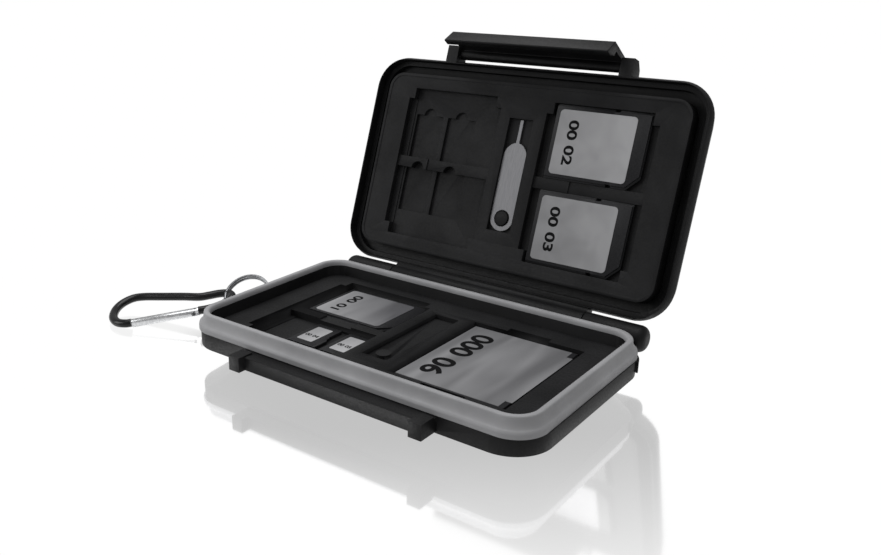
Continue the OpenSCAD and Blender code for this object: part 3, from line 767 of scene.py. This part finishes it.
class CARDCASE_OT_labels(bpy.types.Operator):
    """Gives the card labels their films with painted sheen, and prints their index numbers"""

    bl_idname = "cardcase.labels"
    bl_label = "Labels"

    def execute(self, context):
        ink = printing_ink()
        lid = lid_matrix().to_3x3()
        right, front = Vector((1, 0, 0)), Vector((0, -1, 0))
        in_base = (front, right, UP)
        in_lid = ((lid @ front).normalized(), right, (lid @ UP).normalized())
        tilt = (1, 0, 0.4)
        # Each label's dark and light tones are the two ends of its painted sheen.
        for node, dark, light, heading, text, axes in (
            ("sd_label_base", "#57575A", "#98989A", (-1, -0.35, 0), "00 01", in_base),
            ("sd_label_lid_upper", "#868688", "#A2A2A4", tilt, "00 02", in_lid),
            ("sd_label_lid_lower", "#7C7C7E", "#9A9A9C", tilt, "00 03", in_lid),
        ):
            self.film(node, dark, light, reach=26 * MM, heading=heading, cloud=0.35)
            length, half_label, margin = 14.4 * MM, 12.95 * MM, 3.7 * MM
            down, _, out = axes
            corner = middle_of(node) + out * LABEL_RISE - right * (half_label - margin)
            corner -= down * length / 2
            self.number(node, text, length, 3.5 * MM, corner, axes, ink)
        # The micro labels get a short painted sheen as well.
        for node, text in (("micro_label_left", "00 04"), ("micro_label_right", "00 05")):
            self.film(node, "#929294", "#B2B2B4", reach=10 * MM, heading=(1, -1, 0), cloud=0.3)
            from_middle = Vector((-2.6 * MM, -2.0 * MM, LABEL_RISE))
            corner = middle_of(node) + from_middle
            self.number(node, text, 5.0 * MM, 1.6 * MM, corner, (right, -front, UP), ink)
        # The CF label's film has the widest painted sheen and the most painted streaks.
        node, heading = "cf_label", (-0.8, -0.6, 0)
        self.film(node, "#626264", "#8E8E90", reach=70 * MM, heading=heading, cloud=0.6)
        lowest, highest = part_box("cf_label")
        margin, half_line = 3.4 * MM, 16.2 * MM
        corner = Vector((lowest[0] + margin, middle_of(node).y + half_line, highest[2]))
        self.number(node, "000 06", 32 * MM, 7.2 * MM, corner, in_base, ink)
        return {"FINISHED"}

    def film(self, node, dark, light, **painted_sheen):
        """A label solid is right as it stands, and only gets its film with its painted sheen."""
        dress(frame["nodes"][node], label_film_painted_sheen(node, dark, light, **painted_sheen))

    def number(self, node, text, length, height, corner, axes, ink):
        """The number that belongs to a label and moves with it."""
        name = node + "_number"
        index_number(name, text, length, height, corner, axes, BODY_OF[node], ink)


class CARDCASE_OT_tool(bpy.types.Operator):
    """Dresses the eject tool in stamped steel"""

    bl_idname = "cardcase.tool"
    bl_label = "Eject tool"

    def execute(self, context):
        edge = context.scene.card_case.card_edge
        lid = lid_matrix()
        solid = frame["nodes"]["sim_tool"]
        flat = [lid.inverted() @ (solid.matrix_world @ v.co) for v in solid.data.vertices]
        low, high = extent(flat)
        size, middle = high - low, (low + high) / 2
        blank = bpy.data.curves.new("blank", "CURVE")
        blank.dimensions = "2D"
        blank.fill_mode = "BOTH"
        blank.offset = -edge
        blank.extrude = size.z / 2 - edge
        blank.bevel_depth = edge
        blank.bevel_resolution = 1
        for points in self.outline(size.x / 2, size.y / 2):
            add_run(blank, [(x, y, 0) for x, y in points], closed=True)
        piece = baked(placed("holder", blank), "sim_tool_dressed")
        piece.data.transform(lid @ Matrix.Translation(middle))
        piece.data.set_sharp_from_angle(angle=math.radians(40))
        finish_piece(piece, "sim_tool", stamped_steel())
        return {"FINISHED"}

    def outline(self, half, reach):
        """The blank's rim, with full shoulders below its pin, and its finger hole.

        half is half the blank's width and reach half its length. The shoulders are a quarter of
        an oval whose powers make it fuller.
        """
        pin, point = 0.6 * MM, 0.2 * MM
        shoulder, rise = reach - 12.6 * MM, 4.9 * MM
        out_power, up_power = 1.35, 0.92
        hole, eye = 2.75 * MM, -reach + half
        steps = 12
        right = []
        for i in range(steps + 1):
            turn = math.radians(90 / steps * i)
            x = pin + (half - pin) * math.cos(turn) ** out_power
            right.append((x, shoulder + rise * math.sin(turn) ** up_power))
        right += [(pin, reach - point), (pin * 0.5, reach)]
        left = [(-x, y) for x, y in reversed(right)]
        foot = [(x, eye + y) for x, y in arc(half, range(-180, 1, 9))]
        ring = [(x, eye + y) for x, y in arc(hole, range(0, 360, 12))]
        return foot + right + left, ring


class CARDCASE_OT_pins(bpy.types.Operator):
    """Dresses the hinge pin, the latch pin, the rivet and the spring"""

    bl_idname = "cardcase.pins"
    bl_label = "Pins"

    def execute(self, context):
        steel = drawn_steel()
        for node in ("hinge_pin", "latch_pin", "gate_rivet", "gate_spring"):
            soft_edged(node, 0, steel, limit=30)
        return {"FINISHED"}


class CARDCASE_OT_ring(bpy.types.Operator):
    """Winds the split ring: one wire of two turns that steps across once"""

    bl_idname = "cardcase.ring"
    bl_label = "Split ring"

    def execute(self, context):
        props = context.scene.card_case
        angles = range(36, 684, 3)
        points = [
            (x, y, RING_PITCH * self.step(a))
            for a, (x, y) in zip(angles, arc(props.ring_radius, angles))
        ]
        wire = bpy.data.materials.get("nickelled_wire") or drawn_steel()
        piece = swept_bar(
            "split_ring_dressed",
            points,
            width=props.wire,
            thickness=props.wire,
            sides=10,
            material=wire,
            matrix=ring_matrix(),
        )
        finish_piece(piece, "split_ring", wire)
        return {"FINISHED"}

    def step(self, angle):
        """Place of the wire along the ring's axis at an angle, from half a pitch to the other."""
        start, end = RING_STEP
        share = min(max((angle - start) / (end - start), 0), 1)
        return -0.5 + (1 - math.cos(math.pi * share)) / 2


class CARDCASE_OT_hook(bpy.types.Operator):
    """Bends the snap hook's bar and dresses its gate"""

    bl_idname = "cardcase.hook"
    bl_label = "Snap hook"

    def execute(self, context):
        props = context.scene.card_case
        points = [(x * MM, y * MM, 0) for x, y in eased(HOOK_LINE, 6)]
        lacquer = hook_lacquer(props)
        piece = swept_bar(
            "hook_body_dressed",
            points,
            width=props.hook_width,
            thickness=props.hook_depth,
            sides=24,
            material=lacquer,
            matrix=Matrix.Translation((0, 0, HOOK_LIFT)) @ hook_matrix(),
        )
        finish_piece(piece, "hook_body", lacquer)
        gate = soft_edged("hook_gate", 0.1 * MM, gate_aluminium())
        nose = hook_matrix() @ Matrix.Translation((GATE_NOSE[0] * MM, GATE_NOSE[1] * MM, 0))
        gate.data.transform(nose @ Matrix.Diagonal((*GATE_SCALE, 1)) @ nose.inverted())
        return {"FINISHED"}


class CARDCASE_PT_panel(bpy.types.Panel):
    bl_idname = "CARDCASE_PT_panel"
    bl_label = "Memory card case"
    bl_space_type = "VIEW_3D"
    bl_region_type = "UI"
    bl_category = "Card case"

    def draw(self, context):
        props = context.scene.card_case
        for name in CardCaseSettings.__annotations__:
            self.layout.prop(props, name)
        for operator in OPERATORS:
            self.layout.operator(operator.bl_idname)


OPERATORS = (
    CARDCASE_OT_studio,
    CARDCASE_OT_shells,
    CARDCASE_OT_seal,
    CARDCASE_OT_trays,
    CARDCASE_OT_cards,
    CARDCASE_OT_labels,
    CARDCASE_OT_tool,
    CARDCASE_OT_pins,
    CARDCASE_OT_ring,
    CARDCASE_OT_hook,
)
CLASSES = (CardCaseSettings,) + OPERATORS + (CARDCASE_PT_panel,)


def register():
    for cls in CLASSES:
        bpy.utils.register_class(cls)
    bpy.types.Scene.card_case = bpy.props.PointerProperty(type=CardCaseSettings)


def unregister():
    del bpy.types.Scene.card_case
    for cls in reversed(CLASSES):
        bpy.utils.unregister_class(cls)


def main():
    register()
    for operator in OPERATORS:
        group, name = operator.bl_idname.split(".")
        getattr(getattr(bpy.ops, group), name)()


if __name__ == "__main__":
    main()
